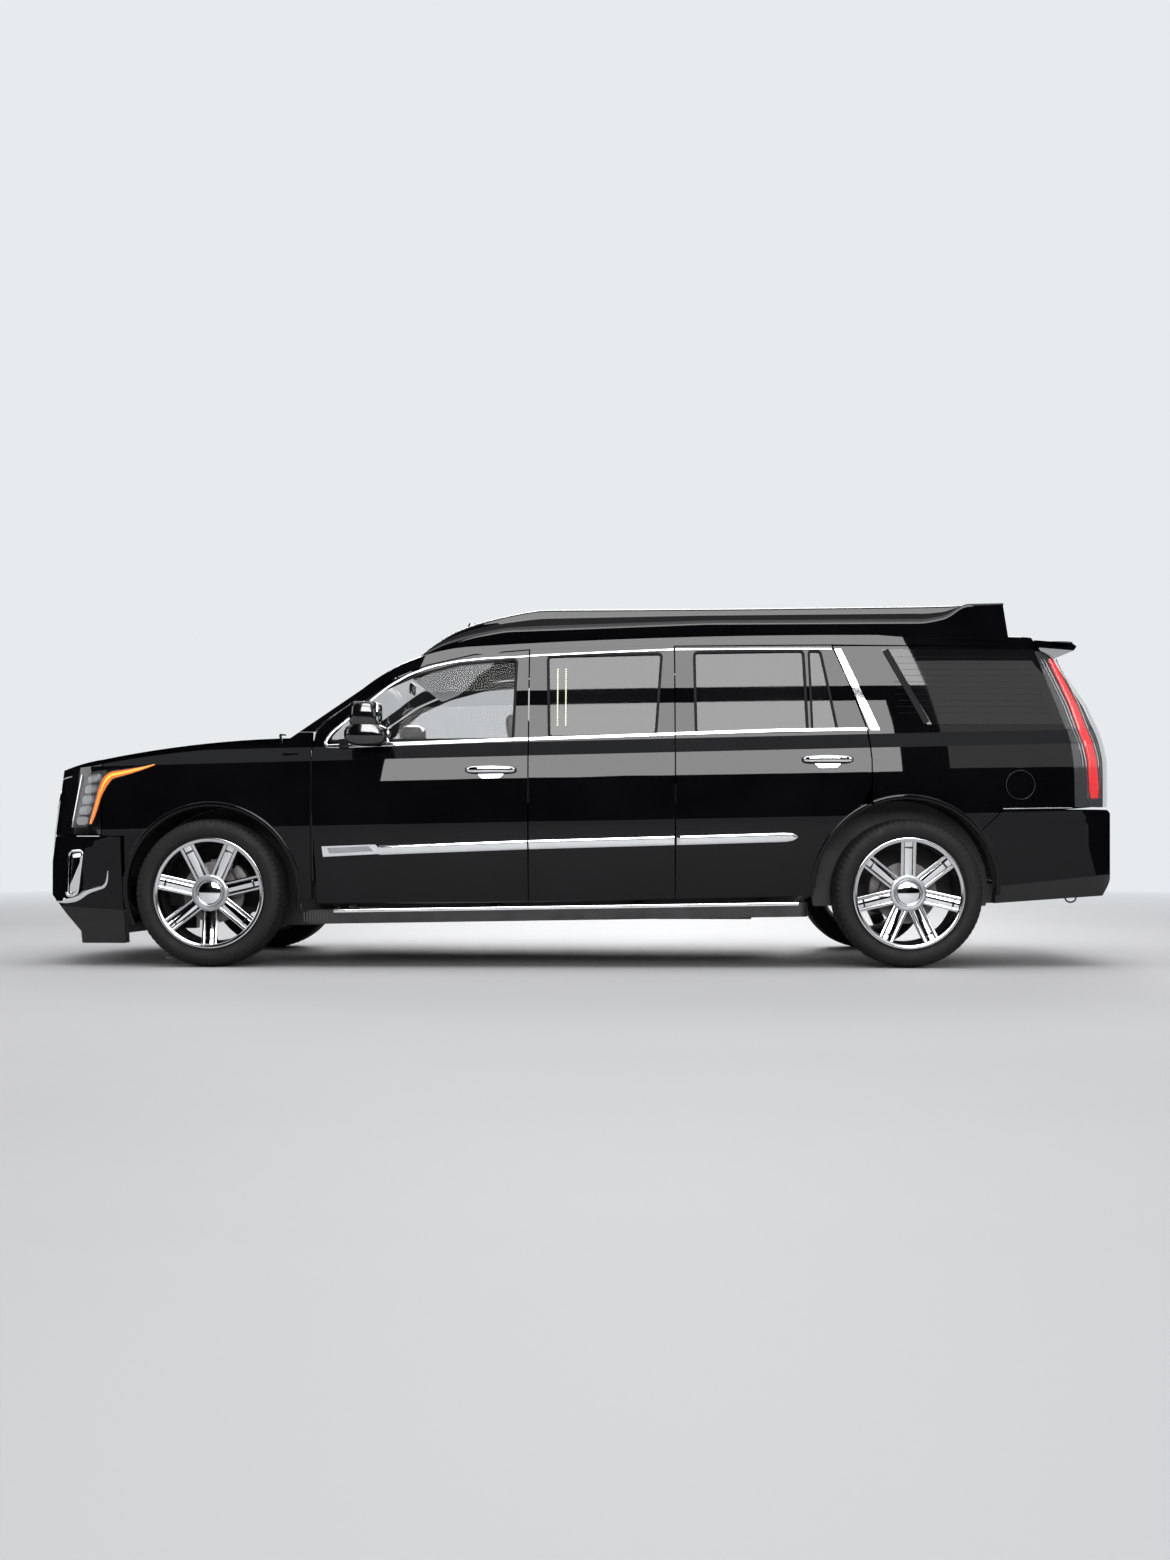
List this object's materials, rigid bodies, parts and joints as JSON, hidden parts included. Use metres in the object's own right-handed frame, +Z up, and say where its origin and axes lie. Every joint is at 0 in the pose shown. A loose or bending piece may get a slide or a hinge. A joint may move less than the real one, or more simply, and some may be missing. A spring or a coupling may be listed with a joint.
{
  "type": "stretched sport utility limousine with a raised roof",
  "caption": "Long black passenger vehicle with a raised roof, hinged doors, hood, tailgate and fuel door, steered front wheels and four rolling wheels.",
  "frame": {"origin": "on the ground under the middle of the vehicle's box", "axes": "+X forward along the vehicle, +Y to its left, +Z up"},
  "size_m": [5.952, 2.34, 1.9519],
  "materials": {
    "body_paint": "gloss black paint",
    "dark_glass": "grey privacy glass",
    "clear_glass": "clear glass with a light green tint",
    "chrome": "bright chrome",
    "lamp_clear": "clear lens over bright optics",
    "lamp_red": "red lens",
    "steel_dark": "satin black chassis paint",
    "black_plastic": "grained black plastic",
    "gloss_plastic": "gloss black plastic",
    "tyre": "black tyre rubber",
    "cast_iron": "cast iron, lightly rusted",
    "aluminium": "cast aluminium",
    "leather": "light grey leather",
    "board": "running board, dark with a bright edge"
  },
  "bodies": {
    "chassis": {"hitch_socket": "steel_dark", "frame_rails": "steel_dark", "crossmembers": "steel_dark", "floor": "steel_dark", "running_boards": "board", "mid_panels": "body_paint", "roof_frame": "body_paint", "raised_roof": "body_paint", "front_fenders": "body_paint", "quarter_panels": "body_paint", "wheel_liners": "black_plastic", "grille": "chrome", "front_bumper": "body_paint", "headlamps": "lamp_clear", "rear_bumper": "body_paint", "tail_lamps": "lamp_red", "windscreen": "clear_glass", "side_glass": "dark_glass", "dashboard": "black_plastic", "front_seats": "leather", "rear_seats": "leather", "engine": "aluminium", "radiator": "steel_dark", "exhaust": "cast_iron", "fuel_tank": "black_plastic", "suspension_arms": "steel_dark", "rear_axle": "cast_iron"},
    "hood": {"hood": "body_paint"},
    "tailgate": {"tailgate": "body_paint", "rear_window": "dark_glass", "spoiler": "body_paint"},
    "fuel_door": {"fuel_door": "body_paint"},
    "steering_wheel": {"steering_wheel": "leather"},
    "front_door_left": {"front_door_left": "body_paint", "front_door_glass_left": "clear_glass", "mirror_left": "gloss_plastic"},
    "front_door_right": {"front_door_right": "body_paint", "front_door_glass_right": "clear_glass", "mirror_right": "gloss_plastic"},
    "rear_door_left": {"rear_door_left": "body_paint", "rear_door_glass_left": "dark_glass"},
    "rear_door_right": {"rear_door_right": "body_paint", "rear_door_glass_right": "dark_glass"},
    "knuckle_left": {"knuckle_left": "cast_iron"},
    "knuckle_right": {"knuckle_right": "cast_iron"},
    "wheel_front_left": {"tyre_front_left": "tyre", "rim_front_left": "chrome"},
    "wheel_front_right": {"tyre_front_right": "tyre", "rim_front_right": "chrome"},
    "wheel_rear_left": {"tyre_rear_left": "tyre", "rim_rear_left": "chrome"},
    "wheel_rear_right": {"tyre_rear_right": "tyre", "rim_rear_right": "chrome"}
  },
  "joints": [
    {"name": "front_door_left_hinge", "type": "hinge", "parent": "chassis", "child": "front_door_left", "pos_m": [1.406, 1.0003, 0.8], "axis": [0, 0, -1], "range_deg": [0, 68]},
    {"name": "front_door_right_hinge", "type": "hinge", "parent": "chassis", "child": "front_door_right", "pos_m": [1.406, -1.0003, 0.8], "axis": [0, 0, 1], "range_deg": [0, 68]},
    {"name": "rear_door_left_hinge", "type": "hinge", "parent": "chassis", "child": "rear_door_left", "pos_m": [-0.53, 1.0193, 0.8], "axis": [0, 0, -1], "range_deg": [0, 68]},
    {"name": "rear_door_right_hinge", "type": "hinge", "parent": "chassis", "child": "rear_door_right", "pos_m": [-0.53, -1.0193, 0.8], "axis": [0, 0, 1], "range_deg": [0, 68]},
    {"name": "hood_hinge", "type": "hinge", "parent": "chassis", "child": "hood", "pos_m": [1.592, 0, 1.272], "axis": [0, -1, 0], "range_deg": [0, 48]},
    {"name": "tailgate_hinge", "type": "hinge", "parent": "chassis", "child": "tailgate", "pos_m": [-2.412, 0, 1.832], "axis": [0, 1, 0], "range_deg": [0, 82]},
    {"name": "fuel_door_hinge", "type": "hinge", "parent": "chassis", "child": "fuel_door", "pos_m": [-2.274, 0.967, 0.969], "axis": [0, 0, -1], "range_deg": [0, 95]},
    {"name": "steer_left", "type": "hinge", "parent": "chassis", "child": "knuckle_left", "pos_m": [1.952, 0.7825, 0.395], "axis": [0, 0, 1], "range_deg": [-32, 32]},
    {"name": "steer_right", "type": "hinge", "parent": "chassis", "child": "knuckle_right", "pos_m": [1.952, -0.7825, 0.395], "axis": [0, 0, 1], "range_deg": [-32, 32]},
    {"name": "steering_wheel_turn", "type": "hinge", "parent": "chassis", "child": "steering_wheel", "pos_m": [0.95, 0.39, 1.06], "axis": [-0.9136, 0, 0.4067], "range_deg": [-485, 485]},
    {"name": "wheel_front_left_spin", "type": "hinge", "parent": "knuckle_left", "child": "wheel_front_left", "pos_m": [1.952, 0.8725, 0.395], "axis": [0, 1, 0], "continuous": true},
    {"name": "wheel_front_right_spin", "type": "hinge", "parent": "knuckle_right", "child": "wheel_front_right", "pos_m": [1.952, -0.8725, 0.395], "axis": [0, 1, 0], "continuous": true},
    {"name": "wheel_rear_left_spin", "type": "hinge", "parent": "chassis", "child": "wheel_rear_left", "pos_m": [-1.763, 0.8725, 0.395], "axis": [0, 1, 0], "continuous": true},
    {"name": "wheel_rear_right_spin", "type": "hinge", "parent": "chassis", "child": "wheel_rear_right", "pos_m": [-1.763, -0.8725, 0.395], "axis": [0, 1, 0], "continuous": true}
  ],
  "couplings": [
    {"joint": "steer_right", "follows": "steer_left", "ratio": 1},
    {"joint": "steering_wheel_turn", "follows": "steer_left", "ratio": 15}
  ]
}
